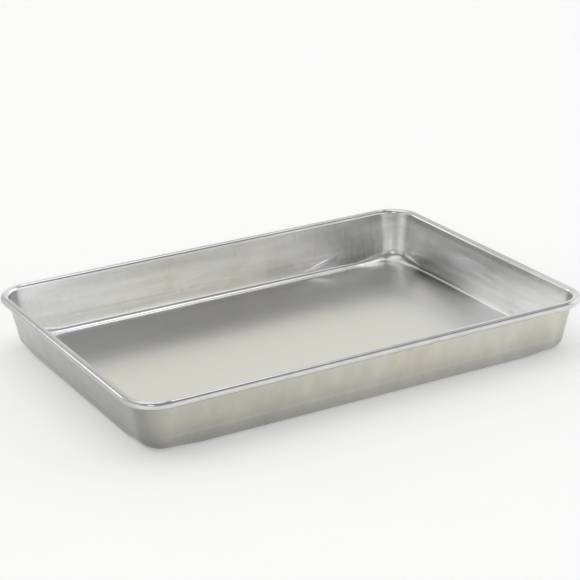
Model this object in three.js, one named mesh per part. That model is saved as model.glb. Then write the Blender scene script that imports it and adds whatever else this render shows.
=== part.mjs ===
// A rectangular sheet-cake pan: a tray drawn from one aluminium sheet, its rim curled round a steel wire.
// Millimetres, +Z up. The origin is the middle of the base, on the table; X runs along the long sides.
import * as THREE from "three";

// Overall size, over the rolled rim
const OVERALL_LENGTH = 454;
const OVERALL_WIDTH = 323;
const OVERALL_HEIGHT = 51.5;

// The drawn sheet
const SHEET = 1.0;
const WALL_DRAFT = THREE.MathUtils.degToRad(10.5);
const SIDE_FILLET = 4.5; // inside radius between floor and wall along the sides
const CORNER_FILLET = 11; // the same radius in a corner, where the sheet can't be pressed so tight
const FILLET_RUN_OUT = 30; // length of each side over which the corner's fillet eases into the side's
const RIM_CORNER_RADIUS = 29; // plan radius of the rim's centreline at a corner
const BASE_CORNER_RADIUS = 20.5; // plan radius of the outer wall at a corner, carried down to the table

// The rolled rim and the wire that it grips
const WIRE_DIAMETER = 5.4;
const WIRE_CLEARANCE = 0.15; // all round the wire, inside the curl
const WIRE_END_GAP = 1.5; // between the wire's two butted ends
const LIP_GAP = 0.4; // between the curl's lip and the wall it comes back to

// How finely the round stretches are divided
const CORNER_STEPS = 10;
const RUN_OUT_STEPS = 4;
const FILLET_STEPS = 6;
const CURL_STEPS = 18;
const WIRE_SIDES = 16;

// Sizes that follow from the ones above
const WIRE_RADIUS = WIRE_DIAMETER / 2;
const CURL_BORE_RADIUS = WIRE_RADIUS + WIRE_CLEARANCE;
const BEAD_RADIUS = CURL_BORE_RADIUS + SHEET;
const BEAD_HEIGHT = OVERALL_HEIGHT - BEAD_RADIUS;
const BEAD_UNDERSIDE = BEAD_HEIGHT - BEAD_RADIUS;
const RIM_HALF_LENGTH = OVERALL_LENGTH / 2 - BEAD_RADIUS;
const RIM_HALF_WIDTH = OVERALL_WIDTH / 2 - BEAD_RADIUS;

// A section point is (u, z): u is measured outward from the rim's centreline, z up from the table.
const BEAD_CENTRE = new THREE.Vector2(0, BEAD_HEIGHT);

// The curl leaves the wall, goes over the wire and stops where its lip clears the wall by LIP_GAP.
const CURL_START = Math.PI - WALL_DRAFT;
const CURL_SHORT_OF_CLOSED = Math.acos((CURL_BORE_RADIUS - LIP_GAP) / BEAD_RADIUS);
const CURL_SWEEP = 2 * Math.PI - CURL_SHORT_OF_CLOSED;

// Where the outer wall would meet the table with no fillet, and the plan radius that an even offset has there.
const WALL_FOOT = -(CURL_BORE_RADIUS / Math.cos(WALL_DRAFT) + BEAD_HEIGHT * Math.tan(WALL_DRAFT));
const EVEN_FOOT_RADIUS = RIM_CORNER_RADIUS + WALL_FOOT;

function arc(centre, radius, from, to, steps) {
  const curve = new THREE.EllipseCurve(centre.x, centre.y, radius, radius, from, to, to < from);
  return curve.getPoints(steps);
}

// The fillet touches the floor's food side below it and, beside it, the line that touches the rim bead.
function filletCentre(fillet) {
  const height = SHEET + fillet;
  const lean = (BEAD_HEIGHT - height) * Math.sin(WALL_DRAFT);
  return new THREE.Vector2(-(lean + BEAD_RADIUS + fillet) / Math.cos(WALL_DRAFT), height);
}

// One face of the sheet, from the edge of the flat floor up the wall and round the curl to the lip.
function sheetFace(fillet, filletRadius, curlRadius) {
  return [
    ...arc(filletCentre(fillet), filletRadius, -Math.PI / 2, -WALL_DRAFT, FILLET_STEPS),
    ...arc(BEAD_CENTRE, curlRadius, CURL_START, CURL_START - CURL_SWEEP, CURL_STEPS),
  ];
}

function sheetSection(fillet) {
  const outside = sheetFace(fillet, fillet + SHEET, CURL_BORE_RADIUS);
  const inside = sheetFace(fillet, fillet, BEAD_RADIUS);
  return [...outside, ...inside.reverse()];
}

// The drawn corners lean back more than the sides: below the rim their plan radius shrinks less than u does.
function cornerRadius(u, z) {
  const share = THREE.MathUtils.clamp((BEAD_UNDERSIDE - z) / BEAD_UNDERSIDE, 0, 1);
  return RIM_CORNER_RADIUS + u + share * (BASE_CORNER_RADIUS - EVEN_FOOT_RADIUS);
}

// The places round the pan where a section is taken, anticlockwise from the +X side: along the end of a side up
// to a corner, evenly through the corner, and along the start of the next side.
function stations() {
  const all = [];
  for (let corner = 0; corner < 4; corner++) {
    const middle = (corner + 0.5) * (Math.PI / 2);
    const sideX = Math.sign(Math.cos(middle));
    const sideY = Math.sign(Math.sin(middle));
    for (let step = -RUN_OUT_STEPS; step <= CORNER_STEPS + RUN_OUT_STEPS; step++) {
      const turned = THREE.MathUtils.clamp(step, 0, CORNER_STEPS);
      const past = (step - turned) / RUN_OUT_STEPS;
      const ease = THREE.MathUtils.smoothstep(Math.abs(past), 0, 1);
      all.push({
        sideX,
        sideY,
        angle: (corner + turned / CORNER_STEPS) * (Math.PI / 2),
        along: past * FILLET_RUN_OUT,
        fillet: THREE.MathUtils.lerp(CORNER_FILLET, SIDE_FILLET, ease),
      });
    }
  }
  return all;
}

function placed({ sideX, sideY, angle, along }, u, z) {
  const radius = cornerRadius(u, z);
  return new THREE.Vector3(
    sideX * (RIM_HALF_LENGTH + u - radius) + radius * Math.cos(angle) - along * Math.sin(angle),
    sideY * (RIM_HALF_WIDTH + u - radius) + radius * Math.sin(angle) + along * Math.cos(angle),
    z,
  );
}

// A closed solid through a row of loops with equal point counts. The first and last loops are flat and the same
// on both sides of their middle, so a zigzag of triangles across them fills them in.
function loft(loops) {
  const count = loops[0].length;
  const positions = loops.flat().flatMap((point) => point.toArray());
  const triangles = [];
  for (let row = 0; row + 1 < loops.length; row++) {
    for (let i = 0; i < count; i++) {
      const a = row * count + i;
      const b = row * count + ((i + 1) % count);
      triangles.push(a, b, b + count, a, b + count, a + count);
    }
  }
  const lastLoop = (loops.length - 1) * count;
  let low = 0;
  let high = count - 1;
  for (let turn = 0; low + 1 < high; turn++) {
    const third = turn % 2 ? high - 1 : low + 1;
    triangles.push(low, high, third);
    triangles.push(lastLoop + low, lastLoop + third, lastLoop + high);
    if (turn % 2) high = third;
    else low = third;
  }
  const geometry = new THREE.BufferGeometry();
  geometry.setAttribute("position", new THREE.Float32BufferAttribute(positions, 3));
  geometry.setIndex(triangles);
  geometry.computeVertexNormals();
  return geometry;
}

// The tray: floor, fillet, drafted walls and curled rim, all one sheet of even thickness.
function panShell() {
  const columns = stations().map((station) =>
    sheetSection(station.fillet).map(({ x: u, y: z }) => placed(station, u, z)),
  );
  const geometry = loft(columns[0].map((_, row) => columns.map((column) => column[row])));
  const aluminium = new THREE.MeshStandardMaterial({ color: 0xc9c9c4, roughness: 0.38, metalness: 1 });
  const mesh = new THREE.Mesh(geometry, aluminium);
  mesh.name = "pan_shell";
  return mesh;
}

// The wire: one length of round steel bent to the rim, its ends butted in the middle of the back side.
function rimWire() {
  const behind = { sideX: 0, sideY: 1, angle: Math.PI / 2, along: 0 };
  const bends = stations().filter((station) => station.along === 0);
  const first = bends.findIndex((station) => station.sideX < 0 && station.sideY > 0);
  const route = [behind, ...bends.slice(first), ...bends.slice(0, first), behind];
  const ends = new Map([[0, -WIRE_END_GAP / 2], [route.length - 1, WIRE_END_GAP / 2]]);
  const loops = route.map((station, index) => {
    const loop = [];
    for (let side = 0; side < WIRE_SIDES; side++) {
      const turn = (-side / WIRE_SIDES) * 2 * Math.PI;
      const u = WIRE_RADIUS * Math.cos(turn);
      const point = placed(station, u, BEAD_HEIGHT + WIRE_RADIUS * Math.sin(turn));
      point.x += ends.get(index) ?? 0;
      loop.push(point);
    }
    return loop;
  });
  const galvanised = new THREE.MeshStandardMaterial({ color: 0xa7abad, roughness: 0.5, metalness: 1 });
  const mesh = new THREE.Mesh(loft(loops), galvanised);
  mesh.name = "rim_wire";
  return mesh;
}

const cakePan = new THREE.Group();
cakePan.name = "cake_pan";
cakePan.add(panShell(), rimWire());

export default cakePan;
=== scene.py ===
# %% [markdown]
# A sheet-cake pan in natural aluminium.
# The real pan is one aluminium sheet, pressed into a tray and rolled over a steel wire at its edge.
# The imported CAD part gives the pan's true sizes. This lesson dresses that part: it builds the pressed sheet
# as a finer mesh with the small marks that pressing leaves, gives the sheet and the wire their metal, and
# sets up a small photo studio round them.

# %% Load the CAD frame
import math

import bpy
import numpy as np
from mathutils import Matrix, Vector, noise


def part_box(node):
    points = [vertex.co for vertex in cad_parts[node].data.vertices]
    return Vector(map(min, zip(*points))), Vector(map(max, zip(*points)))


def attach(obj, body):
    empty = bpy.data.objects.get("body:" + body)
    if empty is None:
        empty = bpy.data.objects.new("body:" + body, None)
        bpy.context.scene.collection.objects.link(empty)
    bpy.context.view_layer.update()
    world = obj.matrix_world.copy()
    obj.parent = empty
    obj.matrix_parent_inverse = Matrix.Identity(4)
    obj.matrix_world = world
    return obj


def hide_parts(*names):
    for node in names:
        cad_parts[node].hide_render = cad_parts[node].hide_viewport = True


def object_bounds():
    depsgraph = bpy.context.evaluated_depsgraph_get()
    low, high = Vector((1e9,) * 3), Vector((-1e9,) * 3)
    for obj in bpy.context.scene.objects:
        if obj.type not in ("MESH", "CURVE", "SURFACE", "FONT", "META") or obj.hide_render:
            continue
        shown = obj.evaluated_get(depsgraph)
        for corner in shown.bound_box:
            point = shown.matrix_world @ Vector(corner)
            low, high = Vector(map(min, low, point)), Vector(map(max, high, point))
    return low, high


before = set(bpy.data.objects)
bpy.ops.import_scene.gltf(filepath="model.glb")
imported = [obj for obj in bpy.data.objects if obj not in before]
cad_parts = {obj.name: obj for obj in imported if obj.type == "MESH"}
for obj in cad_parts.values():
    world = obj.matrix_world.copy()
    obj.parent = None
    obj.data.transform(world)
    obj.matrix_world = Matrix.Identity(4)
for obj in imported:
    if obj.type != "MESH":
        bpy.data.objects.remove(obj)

MM = 0.001

cad_low, cad_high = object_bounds()
print("CAD box, mm:", [round(side / MM, 1) for side in cad_high - cad_low])

# %% [markdown]
# The camera comes first, so that every later step can be judged from the photograph's own place.
# A camera set by eye would come close, but only a fitted one lets the two pictures be laid over each other,
# so its angles and distance were found by matching the pan's rim, floor line and outline.
# A long lens from almost two metres away keeps the pan's sides nearly parallel, as the photograph has them.

# %% Camera
PHOTO_PIXELS = 580
FOCAL_PIXELS = 1867.7
SENSOR_MM = 36.0
CAMERA_AZIMUTH = math.radians(-29.0)
CAMERA_ELEVATION = math.radians(20.71)
CAMERA_ROLL = math.radians(-1.53)
CAMERA_DISTANCE = 1718.9 * MM
AIM_RIGHT = 1.68 * MM
AIM_UP = 31.88 * MM
AIM_HEIGHT = 20 * MM


def make_camera():
    """A camera on a sphere round the pan, rolled a little, aimed just above the pan's middle."""
    flat = math.cos(CAMERA_ELEVATION)
    back = Vector((
        math.sin(CAMERA_AZIMUTH) * flat,
        -math.cos(CAMERA_AZIMUTH) * flat,
        math.sin(CAMERA_ELEVATION),
    ))
    level = Vector((math.cos(CAMERA_AZIMUTH), math.sin(CAMERA_AZIMUTH), 0))
    upright = back.cross(level)
    right = level * math.cos(CAMERA_ROLL) + upright * math.sin(CAMERA_ROLL)
    up = upright * math.cos(CAMERA_ROLL) - level * math.sin(CAMERA_ROLL)
    aim = right * AIM_RIGHT + up * AIM_UP + Vector((0, 0, AIM_HEIGHT))
    data = bpy.data.cameras.new("studio_camera")
    data.sensor_width = SENSOR_MM
    data.lens = SENSOR_MM * FOCAL_PIXELS / PHOTO_PIXELS
    camera = bpy.data.objects.new("studio_camera", data)
    camera.matrix_world = Matrix.Translation(aim + back * CAMERA_DISTANCE) @ Matrix(
        (right, up, back)
    ).transposed().to_4x4()
    bpy.context.scene.collection.objects.link(camera)
    bpy.context.scene.camera = camera
    return camera


camera = make_camera()
print("camera lens, mm:", round(camera.data.lens, 1))

# %% [markdown]
# The sheet's section is the pan's whole character: a flat floor, a tight fillet, a wall that leans out, and
# a bead where the edge goes over the wire and comes back to the wall.
# A point of the section is (u, z): u runs outward from the rim's centreline and z up from the table.
# The wire's place in the frame gives the rim's centreline, so the bead lands where the CAD part has it.
# A plane could be pulled into this shape by hand, but a section of arcs and lines keeps every radius exact.

# %% Sizes of the pressed sheet
SHEET = 1.0 * MM
WALL_DRAFT = math.radians(10.5)
SIDE_FILLET = 4.5 * MM
CORNER_FILLET = 11 * MM
FILLET_RUN_OUT = 30 * MM
RIM_CORNER_RADIUS = 29 * MM
BASE_CORNER_RADIUS = 20.5 * MM
LIP_GAP = 0.4 * MM

wire_low, wire_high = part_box("rim_wire")
WIRE_RADIUS = (wire_high.z - wire_low.z) / 2
BEAD_HEIGHT = (wire_high.z + wire_low.z) / 2
BEAD_RADIUS = cad_high.z - BEAD_HEIGHT
CURL_BORE_RADIUS = BEAD_RADIUS - SHEET
BEAD_UNDERSIDE = BEAD_HEIGHT - BEAD_RADIUS
RIM_HALF_LENGTH = wire_high.x - WIRE_RADIUS
RIM_HALF_WIDTH = wire_high.y - WIRE_RADIUS
print("bead radius, mm:", round(BEAD_RADIUS / MM, 3), "rim half sizes, mm:",
      round(RIM_HALF_LENGTH / MM, 2), round(RIM_HALF_WIDTH / MM, 2))

# %% Section of the sheet
FILLET_STEPS = 12
WALL_STEPS = 46
CURL_STEPS = 32
LIP_STEPS = 6


def arc(centre, radius, start, end, steps):
    angles = np.linspace(start, end, steps + 1)
    return np.stack([centre[0] + radius * np.cos(angles), centre[1] + radius * np.sin(angles)], 1)


def sheet_face(fillet, fillet_radius, curl_radius):
    """One face of the sheet, from the edge of the flat floor, up the wall and round the curl to the lip."""
    height = SHEET + fillet
    lean = (BEAD_HEIGHT - height) * math.sin(WALL_DRAFT)
    out = -(lean + BEAD_RADIUS + fillet) / math.cos(WALL_DRAFT)
    short_of_closed = math.acos((CURL_BORE_RADIUS - LIP_GAP) / BEAD_RADIUS)
    curl_start = math.pi - WALL_DRAFT
    curl_end = curl_start - 2 * math.pi + short_of_closed
    bend = arc((out, height), fillet_radius, -math.pi / 2, -WALL_DRAFT, FILLET_STEPS)
    curl = arc((0, BEAD_HEIGHT), curl_radius, curl_start, curl_end, CURL_STEPS)
    share = np.linspace(0, 1, WALL_STEPS + 1)[1:-1, None]
    wall = bend[-1] * (1 - share) + curl[0] * share
    return np.concatenate([bend, wall, curl])


def sheet_section(fillet):
    """The whole section: up the outside, round the lip's rolled-over edge, and down the food side."""
    outside = sheet_face(fillet, fillet + SHEET, CURL_BORE_RADIUS)
    inside = sheet_face(fillet, fillet, BEAD_RADIUS)
    middle = (outside[-1] + inside[-1]) / 2
    spoke = outside[-1] - middle
    forward = outside[-1] - outside[-2]
    forward = forward / np.linalg.norm(forward) * np.linalg.norm(spoke)
    turns = np.linspace(0, math.pi, LIP_STEPS + 1)[1:-1, None]
    lip = middle + spoke * np.cos(turns) + forward * np.sin(turns)
    return np.concatenate([outside, lip, inside[::-1]])


print("section points:", len(sheet_section(SIDE_FILLET)))

# %% [markdown]
# The section is carried round the rim: straight along the sides, turned through each corner. A curve with a
# bevel would give one section all round, and this one changes, so its rows are placed one by one.
# The press can't force the sheet tight into a corner, so the fillet opens out there, and eases back to the
# tight one along the first stretch of each side. Each station knows its outward direction and how deep in a
# corner it is, because pressing leaves different marks on the sides and in the corners.

# %% Stations round the rim
CORNER_STEPS = 24
RUN_OUT_STEPS = 10
SIDE_STEP = 5 * MM
CREASE_STEP = 1.2 * MM
CREASE_START = 92 * MM
CREASE_END = 146 * MM

WALL_FOOT = -(CURL_BORE_RADIUS / math.cos(WALL_DRAFT) + BEAD_HEIGHT * math.tan(WALL_DRAFT))
EVEN_FOOT_RADIUS = RIM_CORNER_RADIUS + WALL_FOOT


def smooth_step(low, high, value):
    share = np.clip((value - low) / (high - low), 0, 1)
    return share * share * (3 - 2 * share)


def corner_radius(u, z):
    share = np.clip((BEAD_UNDERSIDE - z) / BEAD_UNDERSIDE, 0, 1)
    return RIM_CORNER_RADIUS + u + share * (BASE_CORNER_RADIUS - EVEN_FOOT_RADIUS)


def station(corner, turn, along):
    """Section points at one turn, 0 to 1, through a corner, or at a length along the side beside it."""
    middle = (corner + 0.5) * math.pi / 2
    angle = (corner + turn) * math.pi / 2
    ease = smooth_step(0, FILLET_RUN_OUT, abs(along))
    fillet = CORNER_FILLET + (SIDE_FILLET - CORNER_FILLET) * ease
    u, z = sheet_section(fillet).T
    radius = corner_radius(u, z)
    side_x = np.sign(math.cos(middle)) * (RIM_HALF_LENGTH + u - radius)
    side_y = np.sign(math.sin(middle)) * (RIM_HALF_WIDTH + u - radius)
    x = side_x + radius * math.cos(angle) - along * math.sin(angle)
    y = side_y + radius * math.sin(angle) + along * math.cos(angle)
    return np.stack([x, y, z], 1), (math.cos(angle), math.sin(angle), 0), math.sin(math.pi * turn)


def side_shares(start, end, is_back):
    """Where along the plain middle of a side stations stand. The back's dent needs them close together."""
    length = abs(end - start)
    shares = np.linspace(0, 1, round(length / SIDE_STEP) + 1)
    if is_back:
        dented = np.arange(CREASE_START, CREASE_END, CREASE_STEP)
        shares = np.concatenate([shares, (dented - start) / (end - start)])
    return np.unique(np.round(shares, 5))[1:-1]


def stations():
    """Rows of section points round the pan, with each row's outward direction and depth in a corner."""
    picked = []
    for corner in range(4):
        steps = np.arange(-RUN_OUT_STEPS, CORNER_STEPS + RUN_OUT_STEPS + 1)
        for step in steps:
            turned = min(max(step, 0), CORNER_STEPS)
            along = (step - turned) / RUN_OUT_STEPS * FILLET_RUN_OUT
            picked.append(station(corner, turned / CORNER_STEPS, along))
        start = picked[-1]
        end = station((corner + 1) % 4, 0, -FILLET_RUN_OUT)
        across = 0 if corner % 2 == 0 else 1
        for share in side_shares(start[0][0][across], end[0][0][across], corner == 0):
            picked.append((start[0] * (1 - share) + end[0] * share, start[1], 0))
    return [np.array(column) for column in zip(*picked)]


rows, outward, depth = stations()
print("stations round the rim:", len(rows))

# %% [markdown]
# Pressing marks the sheet. A faint draw line runs round the walls a finger's width above the table, where
# the punch's nose let go of the metal, and below it the wall stands a touch more upright.
# The flat walls aren't true: they wave by a few hundredths of a millimetre, enough to bend a reflection. In
# the corners the gathered metal is ironed into shallow upright flutes, and the back wall has one small dent
# in the shape of a long S.
# A bump in the material could hint at these, but they are moved in the mesh, both faces together, so that
# the sheet keeps its thickness and the marks show in any light.

# %% Helpers for marks
CORNER_STARTS = 75 * MM
CORNER_FULL = 45 * MM


def mm(low, high):
    """A stretch in millimetres, as metres."""
    return low * MM, high * MM


def within(value, rise=None, fall=None):
    """1, easing up from 0 over the stretch called rise and back to 0 over the one called fall."""
    share = 1.0
    if rise:
        share = share * smooth_step(*rise, value)
    if fall:
        share = share * (1 - smooth_step(*fall, value))
    return share


def bell(value, centre, width):
    return np.exp(-(((value - centre) / width) ** 2))


def field(points, lengths, seed):
    """Smooth noise, about -1 to 1, whose grain has the given lengths along X, Y and Z."""
    scaled = points.reshape(-1, 3) / np.array(lengths) + seed
    values = [noise.noise(Vector(point)) for point in scaled]
    return np.array(values).reshape(points.shape[:-1])


def corner_nearness(x, y):
    """1 in the corners and where their wide fillets run out, 0 along the plain middle of each side."""
    along = within(np.abs(x), (RIM_HALF_LENGTH - CORNER_STARTS, RIM_HALF_LENGTH - CORNER_FULL))
    across = within(np.abs(y), (RIM_HALF_WIDTH - CORNER_STARTS, RIM_HALF_WIDTH - CORNER_FULL))
    return along * across


print("a corner's marks start", round(CORNER_STARTS / MM), "mm from the end of a side")

# %% Pressing marks
DRAW_LINE_HEIGHT = 14 * MM
DRAW_LINE_RIDGE = 0.08 * MM
DRAW_LINE_WIDTH = 1.2 * MM
FOOT_SET_OUT = 0.28 * MM
FOOT_HEIGHT = 8 * MM
FOOT_RISE = (SHEET, 6 * MM)
WAVE_DEPTH = 0.07 * MM
WAVE_LENGTHS = (55 * MM, 55 * MM, 38.5 * MM)
WAVE_SEED = 3.7
FLUTE_DEPTH = 0.05 * MM
FLUTE_LENGTHS = (7 * MM, 7 * MM, 1000 * MM)
FLUTE_SEED = 11.3
WALL_RISE = mm(6, 13)
WALL_FALL = (BEAD_UNDERSIDE - 7 * MM, BEAD_UNDERSIDE)
DENT_DEPTH = 0.4 * MM
DENT_WIDTH = 1.5 * MM
DENT_LOW = 5.5 * MM
DENT_HIGH = 13.5 * MM
DENT_START = 98 * MM
DENT_END = 140 * MM
DENT_END_SOFTNESS = 0.7


def dent(points, above, width):
    """An S-shaped line low on the back wall, or a little above it, fading at both ends, 0 to 1."""
    x, y, z = np.moveaxis(points, -1, 0)
    line = DENT_LOW + (DENT_HIGH - DENT_LOW) * smooth_step(DENT_START, DENT_END, x)
    along = np.clip((x - DENT_START) / (DENT_END - DENT_START), 0, 1)
    strength = np.sin(math.pi * along) ** DENT_END_SOFTNESS * (y > 0)
    return strength * bell(z, line + above, width)


def pressing_marks(rows, outward, depth):
    x, y, z = np.moveaxis(rows, -1, 0)
    on_wall = within(z, WALL_RISE, WALL_FALL)
    ridge = DRAW_LINE_RIDGE * bell(z, DRAW_LINE_HEIGHT, DRAW_LINE_WIDTH)
    foot = np.clip((DRAW_LINE_HEIGHT - z) / FOOT_HEIGHT, 0, 1) * within(z, FOOT_RISE)
    wave = WAVE_DEPTH * field(rows, WAVE_LENGTHS, WAVE_SEED)
    flute = FLUTE_DEPTH * field(rows, FLUTE_LENGTHS, FLUTE_SEED) * depth[:, None]
    out = (1 - corner_nearness(x, y)) * (ridge + FOOT_SET_OUT * foot)
    out = out - DENT_DEPTH * dent(rows, 0, DENT_WIDTH) + (wave + flute) * on_wall
    return rows + outward[:, None, :] * out[..., None]


plain_rows = rows
rows = pressing_marks(plain_rows, outward, depth)
print("deepest pressing mark, mm:", round(np.abs(rows - plain_rows).max() / MM, 2))

# %% [markdown]
# The floor closes the tray. Rings of points shrink from the fillet's edge to the middle, and the sheet
# rises a little there, as a pressed floor does, so that it stands on its edges and doesn't rock.
# The points run as loops: from the middle of the underside out to the fillet, up the outside, over the rim,
# down the food side and in to the middle of the floor.

# %% Points of the sheet
FLOOR_RINGS = 16
FLOOR_CROWN = 0.25 * MM
CROWN_FULL = 0.6
FLOOR_RIPPLE = 0.05 * MM
RIPPLE_LENGTHS = (70 * MM, 70 * MM, 70 * MM)
RIPPLE_SEED = 5.1


def floor_rings(edge):
    """Rings from a floor edge towards the middle, with the crown and the sheet's slight unevenness."""
    shares = 1 - np.arange(1, FLOOR_RINGS) / FLOOR_RINGS
    rings = edge[None] * np.array([1, 1, 0]) * shares[:, None, None]
    rings[..., 2] = edge[0, 2]
    away_from_edge = smooth_step(0, CROWN_FULL, 1 - shares)[:, None]
    ripple = field(rings * np.array([1, 1, 0]), RIPPLE_LENGTHS, RIPPLE_SEED)
    rings[..., 2] += away_from_edge * (FLOOR_CROWN + FLOOR_RIPPLE * ripple)
    return rings


section_loops = np.swapaxes(rows, 0, 1)
underside = floor_rings(section_loops[0])[::-1]
food_floor = floor_rings(section_loops[-1])
loops = np.concatenate([underside, section_loops, food_floor])
points = np.concatenate([loops.reshape(-1, 3), [loops[0].mean(0), loops[-1].mean(0)]])
corner_depth = np.append(np.tile(depth, len(loops)), [0, 0])
x, y, z = points.T
print("points of the sheet:", len(points), "in", len(loops), "loops")

# %% [markdown]
# One sheet has many finishes. Each point of the mesh carries a few values, mostly 0 to 1, that tell the
# metal where it is, and the shader later turns them into colour and gloss.
# The first three are about the pressing: which points are floor, which are on the food side, and which the
# press ironed bright. The die ironed the fillets and the curl. In the corners the gathered metal stays
# rough, so there the value goes below zero.
# Painted masks would need a picture and a flat layout. Values worked out from a point's place need neither.

# %% Floor, food side and polish
BEND_BLEND = 0.15
POLISH_ABOVE_BEND = 0.12
POLISH_BELOW_CURL = 0.95
FOOD_SIDE_ENDS = (0.22, 0.34)
GATHERED_FALL = (BEAD_UNDERSIDE - 8 * MM, BEAD_UNDERSIDE)


def face_polish():
    """How far each point of one face of the section was ironed bright, 0 to 1."""
    bend = smooth_step(0, BEND_BLEND, np.linspace(0, 1, FILLET_STEPS + 1))
    wall = np.linspace(0, 1, WALL_STEPS + 1)[1:-1]
    near_bends = np.maximum(within(wall, fall=(0, POLISH_ABOVE_BEND)), within(wall, (POLISH_BELOW_CURL, 1)))
    return np.concatenate([bend, near_bends, np.ones(CURL_STEPS + 1)])


def by_loop(*parts):
    """One value a loop, given to every point of that loop and to the floor's two middle points."""
    values = np.concatenate(parts)
    return np.append(np.repeat(values, len(depth)), [values[0], values[-1]])


ring = np.zeros(FLOOR_RINGS - 1)
face = face_polish()
lip = np.ones(LIP_STEPS - 1)
to_food = np.ones(len(face))
to_food[-CURL_STEPS:] = within(np.linspace(0, 1, CURL_STEPS), fall=FOOD_SIDE_ENDS)

is_floor = by_loop(ring + 1, face * 0, lip * 0, face * 0, ring + 1)
inside = by_loop(ring, face * 0, lip * 0, to_food[::-1], ring + 1)
ironed = by_loop(ring, face, lip, face[::-1], ring)
gathered = corner_nearness(x, y) * within(z, fall=GATHERED_FALL) * (1 - is_floor)
zones = {
    "is_floor": is_floor,
    "inside": inside,
    "polish": ironed * (1 - gathered) - gathered,
}
print("share of the points that is ironed bright:", round(float(np.mean(zones["polish"] > 0.5)), 2))

# %% [markdown]
# One value on the metal holds painted shade and painted light. Above zero it darkens the metal as painted
# shade, and below zero it lightens it as a painted highlight.
# On the food side the right wall has painted shade low down at its far half and a painted highlight at its
# near end, with fine bright lines that grit in the die dragged along it. The back wall has painted shade
# under its rim, and painted shade and a painted glint along its dent.
# The marks are listed with their places in millimetres, so that each can be found on the pan and moved.

# %% Painted light and shade, and drag lines, on the food side
LONG_SIDE_FROM = 0.85 * RIM_HALF_WIDTH
RIGHT_WALL_RISE = (0.86 * RIM_HALF_LENGTH, 0.93 * RIM_HALF_LENGTH)
FRONT_BEAD_FROM = -0.93 * RIM_HALF_WIDTH
BEAD_RISE = (BEAD_UNDERSIDE - 1 * MM, BEAD_UNDERSIDE + 1 * MM)

# Each mark: strength, the stretches over which it comes and goes along the wall, then those up the wall.
# Painted shade and painted highlights on the right wall's food side, standing in for its reflections.
RIGHT_WALL_PAINTED_LIGHT_AND_SHADE = (
    (0.5, mm(-40, 70), None, None, mm(14, 36)),  # painted shade low on the far half
    (-0.3, mm(85, 120), None, None, mm(14, 36)),  # painted highlight where that shade thins out again
    (0.22, mm(-20, 50), mm(100, 130), None, mm(10, 18)),  # painted shade, darker low down
    (0.1, mm(-50, -10), mm(60, 90), mm(14, 20), mm(36, 42)),  # painted shade in the middle
    (0.05, mm(100, 130), None, None, None),  # painted shade at the far end
    (-0.18, mm(-50, -90), None, None, None),  # painted highlight at the near end
    (0.15, None, None, mm(2.4, 3.2), mm(5, 8)),  # painted shade line above the fillet
)
# Painted shade under the back wall's rim and a painted highlight low at its right end.
BACK_WALL_PAINTED_LIGHT_AND_SHADE = (
    (0.16, mm(-190, -110), mm(20, 90), mm(31, 42), None),  # painted shade under the rim
    (-0.25, mm(80, 115), None, mm(5, 8), mm(12, 22)),  # painted highlight low at the right end
)
RUN_OUT_PAINTED_SHADE = 0.05
RUN_OUT_FALL = mm(10, 18)
FLOOR_LINE_PAINTED_HIGHLIGHT = 0.35
FLOOR_LINE_HEIGHT = 1.9 * MM
FLOOR_LINE_WIDTH = 0.5 * MM
# Each drag line: where it starts and ends along Y, and its height.
DRAG_LINES = ((-8 * MM, 32 * MM, 34 * MM), (-20 * MM, 20 * MM, 24 * MM), (-34 * MM, -2 * MM, 30 * MM))
DRAG_LINE_SHINE = 0.14
DRAG_LINE_WIDTH = 0.8 * MM
DRAG_LINE_TAPER = 6 * MM


# Adds up painted shade and painted highlights along a wall.
def painted_wall_marks(marks, along, up):
    painted_shade_light_and_wear = 0
    for strength, comes, goes, rise, fall in marks:
        painted_shade_light_and_wear = painted_shade_light_and_wear + strength * within(along, comes, goes) * within(up, rise, fall)
    return painted_shade_light_and_wear


def drag_lines(y, z):
    """Fine bright lines that grit in the die dragged along the right wall."""
    bright = 0
    for start, end, height in DRAG_LINES:
        along = within(y, (start, start + DRAG_LINE_TAPER), (end - DRAG_LINE_TAPER, end))
        bright = bright + DRAG_LINE_SHINE * along * bell(z, height, DRAG_LINE_WIDTH)
    return bright


on_side = 1 - corner_depth
on_bead = within(z, BEAD_RISE)
front_bead = on_bead * (y < FRONT_BEAD_FROM)
right_wall_light_shade_and_wear = painted_wall_marks(RIGHT_WALL_PAINTED_LIGHT_AND_SHADE, y, z) - drag_lines(y, z)
# Painted shade where the corners' wide fillets run out along the right wall.
right_wall_light_shade_and_wear = right_wall_light_shade_and_wear + RUN_OUT_PAINTED_SHADE * corner_nearness(x, y) * within(z, fall=RUN_OUT_FALL)
# A painted highlight along the right wall's floor line.
right_wall_light_shade_and_wear = right_wall_light_shade_and_wear - FLOOR_LINE_PAINTED_HIGHLIGHT * bell(z, FLOOR_LINE_HEIGHT, FLOOR_LINE_WIDTH)
food_side_light_shade_and_wear = right_wall_light_shade_and_wear * within(x, RIGHT_WALL_RISE) * on_side
print("film on the right wall:", round(food_side_light_shade_and_wear.min(), 2), "to", round(food_side_light_shade_and_wear.max(), 2))

# %% Painted shade and light by the dent, the bends and the rim
DENT_SHADE = 0.12
DENT_SHADE_ABOVE = 4 * MM
DENT_SHADE_WIDTH = 2.5 * MM
DENT_GLINT = 0.25
DENT_GLINT_WIDTH = 1.2 * MM
FOOT_LINE_PAINTED_HIGHLIGHT = 0.12
FOOT_LINE_RISE = mm(3.5, 5)
FOOT_LINE_FALL = mm(6, 8)
CORNER_FOOT_PAINTED_SHADE = 0.2
CORNER_FOOT_RISE = (0.1, 0.5)
CORNER_FOOT_FALL = mm(8, 14)
FRONT_BEAD_INNER_PAINTED_HIGHLIGHT = 0.05

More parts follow.
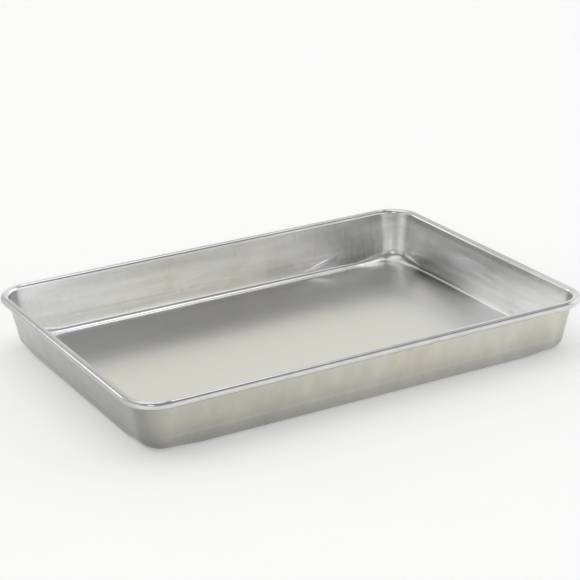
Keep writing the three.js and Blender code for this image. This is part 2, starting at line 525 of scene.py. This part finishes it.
back_wall_painted_light_and_shade = painted_wall_marks(BACK_WALL_PAINTED_LIGHT_AND_SHADE, x, z) * on_side
# Painted shade just above the dent, and a painted glint along it.
back_wall_painted_light_and_shade = back_wall_painted_light_and_shade + DENT_SHADE * dent(points, DENT_SHADE_ABOVE, DENT_SHADE_WIDTH)
back_wall_painted_light_and_shade = back_wall_painted_light_and_shade - DENT_GLINT * dent(points, 0, DENT_GLINT_WIDTH)
food_side_light_shade_and_wear = food_side_light_shade_and_wear + back_wall_painted_light_and_shade * (y > LONG_SIDE_FROM)
# A painted highlight along the foot of the food-side walls.
food_side_light_shade_and_wear = food_side_light_shade_and_wear - FOOT_LINE_PAINTED_HIGHLIGHT * within(z, FOOT_LINE_RISE, FOOT_LINE_FALL) * on_side
# Painted shade low in the food-side corners.
corner_foot_shade = within(corner_depth, CORNER_FOOT_RISE) * within(z, fall=CORNER_FOOT_FALL)
# The front bead's food side gets a painted highlight.
food_side_light_shade_and_wear = food_side_light_shade_and_wear + CORNER_FOOT_PAINTED_SHADE * corner_foot_shade - FRONT_BEAD_INNER_PAINTED_HIGHLIGHT * front_bead
print("film on the food side:", round(food_side_light_shade_and_wear.min(), 2), "to", round(food_side_light_shade_and_wear.max(), 2))

# %% [markdown]
# Outside, painted shade is heaviest round the near corner, over the left wall, in the corners and low down,
# where the outer walls mirror the floor's shadow. The draw line and the front bead get a painted highlight,
# and the beads of the two short rims painted shade.
# The back wall's food side also has painted light over its left part and low at its right end.

# %% Painted shade and light on the outside, and painted light on the back wall
LEFT_WALL_RISE = (-0.9 * RIM_HALF_LENGTH, -RIM_HALF_LENGTH)
NEAR_CORNER_PAINTED_SHADE = 0.14
NEAR_CORNER_SHADE_FALL = mm(20, 330)
LEFT_WALL_PAINTED_SHADE = 0.26
CORNERS_PAINTED_SHADE = 0.16
LOW_PAINTED_SHADE = 0.2
LOW_SHADE_FALL = mm(0, 30)
DRAW_LINE_PAINTED_HIGHLIGHT = 0.07
FRONT_BEAD_OUTER_PAINTED_HIGHLIGHT = 0.12
SHORT_RIM_PAINTED_SHADE = 0.2
SHORT_RIM_FALL = (RIM_HALF_WIDTH - RIM_CORNER_RADIUS, RIM_HALF_WIDTH - 6 * MM)
PAINTED_LIGHT_FROM = 0.8 * RIM_HALF_WIDTH
PAINTED_LIGHT_RISE = mm(20, -190)
RIGHT_END_PAINTED_LIGHT = 0.5
RIGHT_END_RISE = mm(90, 130)
RIGHT_END_FALL = mm(18, 30)

on_left = within(x, LEFT_WALL_RISE)
# Painted shade round the near corner, over the left wall, in the outer corners and low down.
from_near_corner = np.hypot(x + RIM_HALF_LENGTH, y + RIM_HALF_WIDTH)
outside_painted_light_and_shade = NEAR_CORNER_PAINTED_SHADE * within(from_near_corner, fall=NEAR_CORNER_SHADE_FALL) + LEFT_WALL_PAINTED_SHADE * on_left
outside_painted_light_and_shade = outside_painted_light_and_shade + CORNERS_PAINTED_SHADE * corner_depth + LOW_PAINTED_SHADE * within(z, fall=LOW_SHADE_FALL)
# A painted highlight on the draw line and on the outside of the front bead.
outside_painted_light_and_shade = outside_painted_light_and_shade - DRAW_LINE_PAINTED_HIGHLIGHT * bell(z, DRAW_LINE_HEIGHT, DRAW_LINE_WIDTH) * on_side
outside_painted_light_and_shade = outside_painted_light_and_shade * (1 - on_bead) - FRONT_BEAD_OUTER_PAINTED_HIGHLIGHT * front_bead
# The short rims' beads get painted shade.
short_rim = on_bead * within(np.abs(y), fall=SHORT_RIM_FALL)
# Painted shade and painted light, with the drag lines, over the whole sheet but its floor.
painted_shade_light_and_wear = inside * food_side_light_shade_and_wear + (1 - inside) * outside_painted_light_and_shade + SHORT_RIM_PAINTED_SHADE * short_rim
zones["painted_shade_light_and_wear"] = painted_shade_light_and_wear * (1 - is_floor)

# Painted light on the back wall's food side: over its left part and low at its right end.
on_back_wall = (y > PAINTED_LIGHT_FROM) * inside * (1 - is_floor)
right_end_light = RIGHT_END_PAINTED_LIGHT * within(x, RIGHT_END_RISE) * within(z, fall=RIGHT_END_FALL)
zones["painted_light_patch"] = on_back_wall * np.maximum(within(x, PAINTED_LIGHT_RISE), right_end_light)
print("film, all over:", round(zones["painted_shade_light_and_wear"].min(), 2), "to", round(zones["painted_shade_light_and_wear"].max(), 2))

# %% [markdown]
# Old aluminium isn't one grey. Oil that has baked on turns it beige, and clean metal stays cool, so the
# last value says how warm each place is: most on the floor and outside, least on the walls at the near end.

# %% Warmth
LONG_WALL_WARMTH = 0.42
LONG_WALL_MIDDLE = 0.2
LONG_WALL_FALL = mm(90, 180)
SHORT_WALL_WARMTH = 0.46
SHORT_WALL_RISE = mm(0, 100)
BENDS_WARMTH = 0.45
FOOD_WALL_RISE = mm(4, 9)
OUTSIDE_WARMTH = 0.8
LEFT_WALL_COOLER = 0.6
OUTSIDE_FOOT_SHARE = 0.4
OUTSIDE_FOOT_RISE = mm(6, 24)
FLOOR_WARMTH = 0.9
FLOOR_COOLER = 0.4
FLOOR_BACK_RISE = mm(5, 105)
FLOOR_RIGHT_RISE = mm(70, 190)

on_long_side = np.abs(y) > LONG_SIDE_FROM
long_wall = LONG_WALL_WARMTH + LONG_WALL_MIDDLE * within(np.abs(x), fall=LONG_WALL_FALL)
short_wall = SHORT_WALL_WARMTH * within(y, SHORT_WALL_RISE)
food_wall = on_long_side * long_wall + (1 - on_long_side) * short_wall
on_food_wall = within(z, FOOD_WALL_RISE) * (1 - on_bead)
food_warmth = BENDS_WARMTH + on_food_wall * (food_wall - BENDS_WARMTH)
up_outside = OUTSIDE_FOOT_SHARE + (1 - OUTSIDE_FOOT_SHARE) * within(z, OUTSIDE_FOOT_RISE)
outer_warmth = (OUTSIDE_WARMTH - LEFT_WALL_COOLER * on_left) * up_outside * (1 - front_bead)
wall_warmth = inside * food_warmth + (1 - inside) * outer_warmth
cooler = np.maximum(within(y, FLOOR_BACK_RISE), within(x, FLOOR_RIGHT_RISE))
floor_warmth = FLOOR_WARMTH - FLOOR_COOLER * cooler
zones["warmth"] = wall_warmth * (1 - is_floor) + floor_warmth * is_floor
print("warmth:", round(zones["warmth"].min(), 2), "to", round(zones["warmth"].max(), 2))

# %% [markdown]
# Now the loops become a mesh: quads between neighbouring loops, and a fan of triangles in each middle.
# It is one closed skin of a sheet with a real thickness, and the values go onto its points. A Solidify
# modifier could give the thickness, but it can't roll the lip's edge over.

# %% Pan mesh
def pan_mesh():
    here = np.arange(loops.shape[0] * loops.shape[1]).reshape(loops.shape[:2])
    beside = np.roll(here, -1, axis=1)
    quads = np.stack([here[:-1], beside[:-1], beside[1:], here[1:]], -1).reshape(-1, 4)
    under_middle = len(points) - 2
    floor_middle = len(points) - 1
    fans = [(int(b), int(a), under_middle) for a, b in zip(here[0], beside[0])]
    fans += [(int(a), int(b), floor_middle) for a, b in zip(here[-1], beside[-1])]
    mesh = bpy.data.meshes.new("pressed_pan")
    mesh.from_pydata(points.tolist(), [], quads.tolist() + fans)
    mesh.polygons.foreach_set("use_smooth", np.ones(len(mesh.polygons), bool))
    for name, values in zones.items():
        mesh.attributes.new(name, "FLOAT", "POINT").data.foreach_set("value", values)
    mesh.update()
    return mesh


pan = bpy.data.objects.new("pressed_pan", pan_mesh())
bpy.context.scene.collection.objects.link(pan)
print("pan mesh:", len(pan.data.vertices), "vertices,", len(pan.data.polygons), "faces")

# %% [markdown]
# Materials are built from nodes, and two small helpers keep that short. One turns a colour as it is read
# off a screen into the linear light that the renderer works in. The other adds a node together with its
# settings and its links, so that each surface reads as a list of what it is made of.

# %% Colours and nodes
def linear(hex_colour):
    """An sRGB hex value as linear RGBA."""
    channels = [int(hex_colour[i:i + 2], 16) / 255 for i in (1, 3, 5)]
    return [c / 12.92 if c <= 0.04045 else ((c + 0.055) / 1.055) ** 2.4 for c in channels] + [1.0]


def add_node(tree, kind, inputs=None, **settings):
    """A node with its settings, each input either a value or another node's output."""
    node = tree.nodes.new(kind)
    for name, value in settings.items():
        setattr(node, name, value)
    for name, value in (inputs or {}).items():
        if isinstance(value, bpy.types.NodeSocket):
            tree.links.new(value, node.inputs[name])
        else:
            node.inputs[name].default_value = value
    return node


def new_material(name):
    material = bpy.data.materials.new(name)
    material.use_nodes = True
    material.node_tree.nodes.clear()
    return material, material.node_tree


print("middle grey in linear light:", round(linear("#808080")[0], 3))

# %% [markdown]
# The pan is natural aluminium with no coating. Rolling gave the floor its satin grain, drawing polished the
# fillets and the rim bright, and use has left the rest of it uneven.
# Inside, the metal is a cool light grey with long soft bands and a few dark scuffs. Outside it is a little
# beige, as baked-on oil leaves it, with upright smears, and darker, as painted shade. The values that the
# mesh carries say where each of these is, and noise measured in real millimetres breaks them up.
# Noise between 0 and 1 is mostly near its middle, so each mark answers only to a middle range of it.

# %% Grain and marks of the aluminium
# Grain lengths along X, Y and Z. Rolling grain, draw streaks and scuffs are really a few hundredths of a
# millimetre wide, and are drawn coarser here so that they show.
BANDS = (60 * MM, 60 * MM, 9 * MM)
SMEARS = (14 * MM, 14 * MM, 40 * MM)
STREAKS = (3 * MM, 3 * MM, 60 * MM)
ROLLING_GRAIN = (90 * MM, 1.2 * MM, 90 * MM)
BLOTCHES = (28 * MM, 28 * MM, 28 * MM)
SCRATCHES = (40 * MM, 40 * MM, 0.9 * MM)
SCUFFS = (0.8 * MM, 0.8 * MM, 9 * MM)
NOISE_LOW = 0.3
NOISE_HIGH = 0.7
SCUFFED_FROM = 0.5
SCUFFED_FULL = 0.62
# Each mark: the range of noise that it answers to, and what it multiplies the brightness by at each end.
MOTTLE_TONE = (NOISE_LOW, NOISE_HIGH, 0.94, 1.05)
BLOTCH_TONE = (NOISE_LOW, NOISE_HIGH, 1.03, 0.97)
STREAK_TONE = (NOISE_LOW, NOISE_HIGH, 0.99, 1.01)
SCRATCH_TONE = (0.62, 0.68, 1.0, 1.06)
SCUFF_TONE = (0.58, 0.68, 1.0, 0.84)


def stretched_noise(tree, place, lengths, detail):
    """Noise between 0 and 1 whose grain has the given lengths along X, Y and Z."""
    scaled = add_node(tree, "ShaderNodeVectorMath", {
        0: place,
        1: [1 / length for length in lengths],
    }, operation="MULTIPLY")
    return add_node(tree, "ShaderNodeTexNoise", {
        "Vector": scaled.outputs["Vector"],
        "Scale": 1.0,
        "Detail": detail,
    }).outputs["Fac"]


def wall_tone(tree, place, zone, blotch, streak):
    """What the painted light and shade, the drag lines and the walls' marks multiply the metal's brightness
    by.
    """
    scuffed = add_node(tree, "ShaderNodeMapRange", {
        "Value": blotch, "From Min": SCUFFED_FROM, "From Max": SCUFFED_FULL, "To Max": zone["inside"],
    }).outputs["Result"]
    scratch = add_node(tree, "ShaderNodeMath", {
        0: stretched_noise(tree, place, SCRATCHES, detail=1), 1: zone["inside"],
    }, operation="MULTIPLY").outputs["Value"]
    scuff = add_node(tree, "ShaderNodeMath", {
        0: stretched_noise(tree, place, SCUFFS, detail=1), 1: scuffed,
    }, operation="MULTIPLY").outputs["Value"]
    mottle = add_node(tree, "ShaderNodeMix", {
        "Factor": zone["inside"],
        "A": stretched_noise(tree, place, SMEARS, detail=2),
        "B": stretched_noise(tree, place, BANDS, detail=2),
    }).outputs["Result"]
    marks = {
        MOTTLE_TONE: mottle,
        BLOTCH_TONE: blotch,
        STREAK_TONE: streak,
        SCRATCH_TONE: scratch,
        SCUFF_TONE: scuff,
    }
    tone = add_node(tree, "ShaderNodeMath", {0: 1.0, 1: zone["painted_shade_light_and_wear"]}, operation="SUBTRACT").outputs["Value"]
    for (low, high, at_low, at_high), noise_value in marks.items():
        mark = add_node(tree, "ShaderNodeMapRange", {
            "Value": noise_value, "From Min": low, "From Max": high, "To Min": at_low, "To Max": at_high,
        }).outputs["Result"]
        tone = add_node(tree, "ShaderNodeMath", {0: tone, 1: mark}, operation="MULTIPLY").outputs["Value"]
    return tone


print("finest mark on the walls, mm:", round(min(SCUFFS) / MM, 1))

# %% [markdown]
# One metal shader covers the whole sheet, because it is one piece: only its colour and roughness change.
# The colour goes from cool to beige on each face, darker outside as painted shade, and painted light
# lightens part of the food side. The roughness is satin where the sheet was only rolled or drawn, and
# lower where the die ironed it.

# %% Aluminium
FLOOR_ROUGHNESS = 0.24
WALL_ROUGHNESS = 0.17
POLISHED_ROUGHNESS = 0.11
ROUGHNESS_SPREAD = 0.02
GRAIN_HEIGHT = 0.001 * MM
INSIDE_COOL = "#e3e3e7"
INSIDE_WARM = "#e7e6da"
# The outside colours are darker than the food side's as painted shade.
OUTSIDE_SHADED_COOL = "#d1d1d0"
OUTSIDE_SHADED_WARM = "#d6d4c6"
PAINTED_LIGHT_COLOUR = "#f6f6f8"
WARM_PATCH_LOW = 0.35
WARM_PATCH_HIGH = 0.65
WARM_PATCH_SPREAD = 0.2
ZONES = ("polish", "is_floor", "inside", "painted_light_patch", "painted_shade_light_and_wear", "warmth")


def metal_roughness(tree, zone, texture):
    """Satin on the floor and walls, with the grain in it, and sharper where the press ironed the sheet."""
    satin = add_node(tree, "ShaderNodeMix", {
        "Factor": zone["is_floor"], "A": WALL_ROUGHNESS, "B": FLOOR_ROUGHNESS,
    }).outputs["Result"]
    uneven = add_node(tree, "ShaderNodeMapRange", {
        "Value": texture, "From Min": NOISE_LOW, "From Max": NOISE_HIGH,
        "To Min": -ROUGHNESS_SPREAD, "To Max": ROUGHNESS_SPREAD,
    }).outputs["Result"]
    marked = add_node(tree, "ShaderNodeMath", {0: satin, 1: uneven}, operation="ADD").outputs["Value"]
    # Rough corners have a polish below zero, so the mix isn't held between its two ends.
    return add_node(tree, "ShaderNodeMix", {
        "Factor": zone["polish"], "A": marked, "B": POLISHED_ROUGHNESS,
    }, clamp_factor=False).outputs["Result"]


def metal_colour(tree, place, zone, blotch, streak):
    """Cool to beige on each face, darker outside as painted shade, lightened by painted light, and darkened
    by painted shade and marks.
    """
    patchy = add_node(tree, "ShaderNodeMapRange", {
        "Value": blotch, "From Min": WARM_PATCH_LOW, "From Max": WARM_PATCH_HIGH,
        "To Min": 1 - WARM_PATCH_SPREAD, "To Max": 1 + WARM_PATCH_SPREAD,
    }).outputs["Result"]
    beige = add_node(tree, "ShaderNodeMath", {
        0: zone["warmth"], 1: patchy,
    }, operation="MULTIPLY", use_clamp=True).outputs["Value"]
    bright = add_node(tree, "ShaderNodeMix", {
        "Factor": beige, "A": linear(INSIDE_COOL), "B": linear(INSIDE_WARM),
    }, data_type="RGBA").outputs["Result"]
    # Painted light turns part of the back wall towards a pale colour.
    lightened = add_node(tree, "ShaderNodeMix", {
        "Factor": zone["painted_light_patch"], "A": bright, "B": linear(PAINTED_LIGHT_COLOUR),
    }, data_type="RGBA").outputs["Result"]
    # The darker outside colour is painted shade.
    shaded_outside = add_node(tree, "ShaderNodeMix", {
        "Factor": beige, "A": linear(OUTSIDE_SHADED_COOL), "B": linear(OUTSIDE_SHADED_WARM),
    }, data_type="RGBA").outputs["Result"]
    metal = add_node(tree, "ShaderNodeMix", {
        "Factor": zone["inside"], "A": shaded_outside, "B": lightened,
    }, data_type="RGBA").outputs["Result"]
    tone = add_node(tree, "ShaderNodeMix", {
        "Factor": zone["is_floor"], "A": wall_tone(tree, place, zone, blotch, streak), "B": 1.0,
    }).outputs["Result"]
    return add_node(tree, "ShaderNodeVectorMath", {
        0: metal, "Scale": tone,
    }, operation="SCALE").outputs["Vector"]


def drawn_aluminium():
    """Bare drawn metal: a satin mirror that blurs the studio, sharper where the press ironed it."""
    material, tree = new_material("natural_aluminium_deep_drawn")
    place = add_node(tree, "ShaderNodeTexCoord").outputs["Object"]
    zone = {
        name: add_node(tree, "ShaderNodeAttribute", attribute_name=name).outputs["Fac"] for name in ZONES
    }
    streak = stretched_noise(tree, place, STREAKS, detail=3)
    grain = stretched_noise(tree, place, ROLLING_GRAIN, detail=3)
    blotch = stretched_noise(tree, place, BLOTCHES, detail=3)
    texture = add_node(tree, "ShaderNodeMix", {
        "Factor": zone["is_floor"], "A": streak, "B": grain,
    }).outputs["Result"]
    bump = add_node(tree, "ShaderNodeBump", {
        "Height": texture, "Strength": 1.0, "Distance": GRAIN_HEIGHT,
    })
    shader = add_node(tree, "ShaderNodeBsdfPrincipled", {
        "Base Color": metal_colour(tree, place, zone, blotch, streak),
        "Metallic": 1.0,
        "Roughness": metal_roughness(tree, zone, texture),
        "Normal": bump.outputs["Normal"],
    })
    add_node(tree, "ShaderNodeOutputMaterial", {"Surface": shader.outputs["BSDF"]})
    return material


pan.data.materials.append(drawn_aluminium())
print("pan material:", pan.data.materials[0].name)

# %% [markdown]
# The wire inside the rim shows only as a thin line where the sheet's edge stops short of the wall.
# It is steel, drawn through a die, which leaves fine lines along it, and then dipped in molten zinc, which
# freezes into small crystals: patches of lighter and darker grey a few millimetres wide. It keeps the shape
# that the CAD part gives it, because a drawn wire is as round as the model.

# %% Wire
ZINC_LIGHT = "#b4b8ba"
ZINC_DARK = "#9a9ea1"
ZINC_CRYSTAL = 3 * MM
ZINC_ROUGHNESS_LOW = 0.4
ZINC_ROUGHNESS_HIGH = 0.5
# Drawn coarser than a die's real lines, so that they show.
DIE_LINES = (60 * MM, 60 * MM, 0.4 * MM)


def galvanised_wire():
    """Hot-dipped zinc on drawn steel: dull, patchy, and a little shinier along the die's lines."""
    material, tree = new_material("galvanised_steel_drawn_wire")
    place = add_node(tree, "ShaderNodeTexCoord").outputs["Object"]
    crystal = add_node(tree, "ShaderNodeTexVoronoi", {"Vector": place, "Scale": 1 / ZINC_CRYSTAL})
    shade = add_node(tree, "ShaderNodeSeparateColor", {"Color": crystal.outputs["Color"]}).outputs["Red"]
    zinc = add_node(tree, "ShaderNodeMix", {
        "Factor": shade, "A": linear(ZINC_DARK), "B": linear(ZINC_LIGHT),
    }, data_type="RGBA").outputs["Result"]
    line = stretched_noise(tree, place, DIE_LINES, detail=2)
    roughness = add_node(tree, "ShaderNodeMapRange", {
        "Value": line, "From Min": NOISE_LOW, "From Max": NOISE_HIGH,
        "To Min": ZINC_ROUGHNESS_LOW, "To Max": ZINC_ROUGHNESS_HIGH,
    }).outputs["Result"]
    shader = add_node(tree, "ShaderNodeBsdfPrincipled", {
        "Base Color": zinc,
        "Metallic": 1.0,
        "Roughness": roughness,
    })
    add_node(tree, "ShaderNodeOutputMaterial", {"Surface": shader.outputs["BSDF"]})
    return material


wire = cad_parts["rim_wire"]
wire.data.materials.clear()
wire.data.materials.append(galvanised_wire())
print("wire radius, mm:", round(WIRE_RADIUS / MM, 2))

# %% [markdown]
# The pan stands on a matt white studio floor, wide enough to be the whole background, also from low down.
# The floor is painted with a roller, so its white goes up and down very slightly over a hand's width. It
# takes the pan's shadow like any painted board. A faint glow that only the camera and reflections see
# brings the far floor up to the photograph's white without putting more light on the pan.

# %% Floor
FLOOR_REACH = 40.0
FLOOR_WHITE = "#fbfbfa"
FLOOR_DULLER = "#f8f8f7"
ROLLER_PATCHES = (90 * MM, 90 * MM, 90 * MM)
FLOOR_DROP = 0.2 * MM
FLOOR_LIFT = 0.27


def floor_paint():
    """Rolled matt paint: an even white with no shine, and the faint glow."""
    material, tree = new_material("matt_white_studio_floor")
    place = add_node(tree, "ShaderNodeTexCoord").outputs["Object"]
    white = add_node(tree, "ShaderNodeMix", {
        "Factor": stretched_noise(tree, place, ROLLER_PATCHES, detail=3),
        "A": linear(FLOOR_WHITE), "B": linear(FLOOR_DULLER),
    }, data_type="RGBA").outputs["Result"]
    paint = add_node(tree, "ShaderNodeBsdfDiffuse", {"Color": white})
    path = add_node(tree, "ShaderNodeLightPath")
    seen = path.outputs["Is Camera Ray"]
    for ray in ("Is Glossy Ray", "Is Transmission Ray"):
        seen = add_node(tree, "ShaderNodeMath", {
            0: seen, 1: path.outputs[ray],
        }, operation="MAXIMUM").outputs["Value"]
    lift = add_node(tree, "ShaderNodeMath", {0: seen, 1: FLOOR_LIFT}, operation="MULTIPLY").outputs["Value"]
    glow = add_node(tree, "ShaderNodeEmission", {"Color": linear("#ffffff"), "Strength": lift})
    surface = add_node(tree, "ShaderNodeAddShader", {0: paint.outputs["BSDF"], 1: glow.outputs["Emission"]})
    add_node(tree, "ShaderNodeOutputMaterial", {"Surface": surface.outputs["Shader"]})
    return material


def studio_floor():
    mesh = bpy.data.meshes.new("studio_floor")
    turns = ((-1, -1), (1, -1), (1, 1), (-1, 1))
    corners = [(across * FLOOR_REACH, along * FLOOR_REACH, -FLOOR_DROP) for across, along in turns]
    mesh.from_pydata(corners, [], [(0, 1, 2, 3)])
    mesh.materials.append(floor_paint())
    floor = bpy.data.objects.new("studio_floor", mesh)
    bpy.context.scene.collection.objects.link(floor)
    return floor


floor = studio_floor()
print("floor half width, m:", FLOOR_REACH)

# %% [markdown]
# Metal shows what stands round it, so the light is drawn as a studio: a bright sweep of paper low down all
# round, a dimmer ceiling, a large softbox high on the left, and a few cards.
# Lamps could light the pan as well, but their outlines would show in it, so the panels are drawn in the
# world, where each can be as soft as it needs to be.
# Each card is there for one thing that the photograph shows. One draws the white line along the back of the
# floor, one the line on the rims, one lights the right end, and a dimmer stretch of paper behind the camera
# leaves the far end of the floor dark. Their places were found by following the reflections back.

# %% Studio light
GLOOM = 0.3
SWEEP_BRIGHTNESS = 0.85
SWEEP_TOP = math.radians(23)
SWEEP_FADED = math.radians(37)
# Each panel: degrees round from straight behind the pan, degrees up, radius of its even middle, radius
# where it has faded out, brightness.
SOFTBOX = (-85, 71, 26, 37, 1.04)
LINE_CARD = (61, 67, 3, 8, 2.2)
RIM_CARD = (-60, 15, 3, 9, 2.8)
SIDE_CARD = (84, 60, 8, 18, 0.7)
TALL_SWEEP = (-20, 27, 42, 66, 0.8)
RIGHT_SWEEP = (60, 18, 18, 40, 1.1)
CAMERA_CARD = (-164, 24, 7, 15, 1.4)
PANELS = (SOFTBOX, LINE_CARD, RIM_CARD, SIDE_CARD, TALL_SWEEP, RIGHT_SWEEP, CAMERA_CARD)
# The shade takes this share of the sweep's light away.
CAMERA_SHADE = (-168, 14, 8, 60, 0.54)


def panel(tree, looking, azimuth, elevation, full, faded, brightness):
    """A round soft panel in the sky: its brightness in the middle, and nothing past its faded edge."""
    turn = CAMERA_AZIMUTH - math.radians(azimuth)
    rise = math.radians(elevation)
    toward = (-math.sin(turn) * math.cos(rise), math.cos(turn) * math.cos(rise), math.sin(rise))
    aligned = add_node(tree, "ShaderNodeVectorMath", {0: looking, 1: toward}, operation="DOT_PRODUCT")
    angle = add_node(tree, "ShaderNodeMath", {0: aligned.outputs["Value"]}, operation="ARCCOSINE")
    return add_node(tree, "ShaderNodeMapRange", {
        "Value": angle.outputs["Value"],
        "From Min": math.radians(full),
        "From Max": math.radians(faded),
        "To Min": brightness,
        "To Max": 0.0,
    }, interpolation_type="SMOOTHSTEP").outputs["Result"]


def shaded_sweep(tree, looking):
    """The paper's brightness: even up to its top, fading above it, and dimmer behind the camera."""
    height = add_node(tree, "ShaderNodeSeparateXYZ", {"Vector": looking}).outputs["Z"]
    sweep = add_node(tree, "ShaderNodeMapRange", {
        "Value": height,
        "From Min": math.sin(SWEEP_TOP),
        "From Max": math.sin(SWEEP_FADED),
        "To Min": SWEEP_BRIGHTNESS,
        "To Max": 0.0,
    }, interpolation_type="SMOOTHSTEP").outputs["Result"]
    shade = panel(tree, looking, *CAMERA_SHADE)
    lit_share = add_node(tree, "ShaderNodeMath", {0: 1.0, 1: shade}, operation="SUBTRACT").outputs["Value"]
    return add_node(tree, "ShaderNodeMath", {0: sweep, 1: lit_share}, operation="MULTIPLY").outputs["Value"]


def studio_world():
    world = bpy.data.worlds.new("studio")
    bpy.context.scene.world = world
    world.use_nodes = True
    tree = world.node_tree
    tree.nodes.clear()
    looking = add_node(tree, "ShaderNodeTexCoord").outputs["Generated"]
    brightest = shaded_sweep(tree, looking)
    lights = [panel(tree, looking, *card) for card in PANELS]
    for light in lights + [GLOOM]:
        brightest = add_node(tree, "ShaderNodeMath", {
            0: brightest, 1: light,
        }, operation="MAXIMUM").outputs["Value"]
    sky = add_node(tree, "ShaderNodeBackground", {"Color": linear("#ffffff"), "Strength": brightest})
    add_node(tree, "ShaderNodeOutputWorld", {"Surface": sky.outputs["Background"]})


studio_world()
bpy.context.scene.view_settings.view_transform = "Standard"
print("studio panels:", len(PANELS))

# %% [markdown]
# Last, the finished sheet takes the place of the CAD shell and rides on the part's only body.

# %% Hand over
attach(pan, "root")
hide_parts("pan_shell")
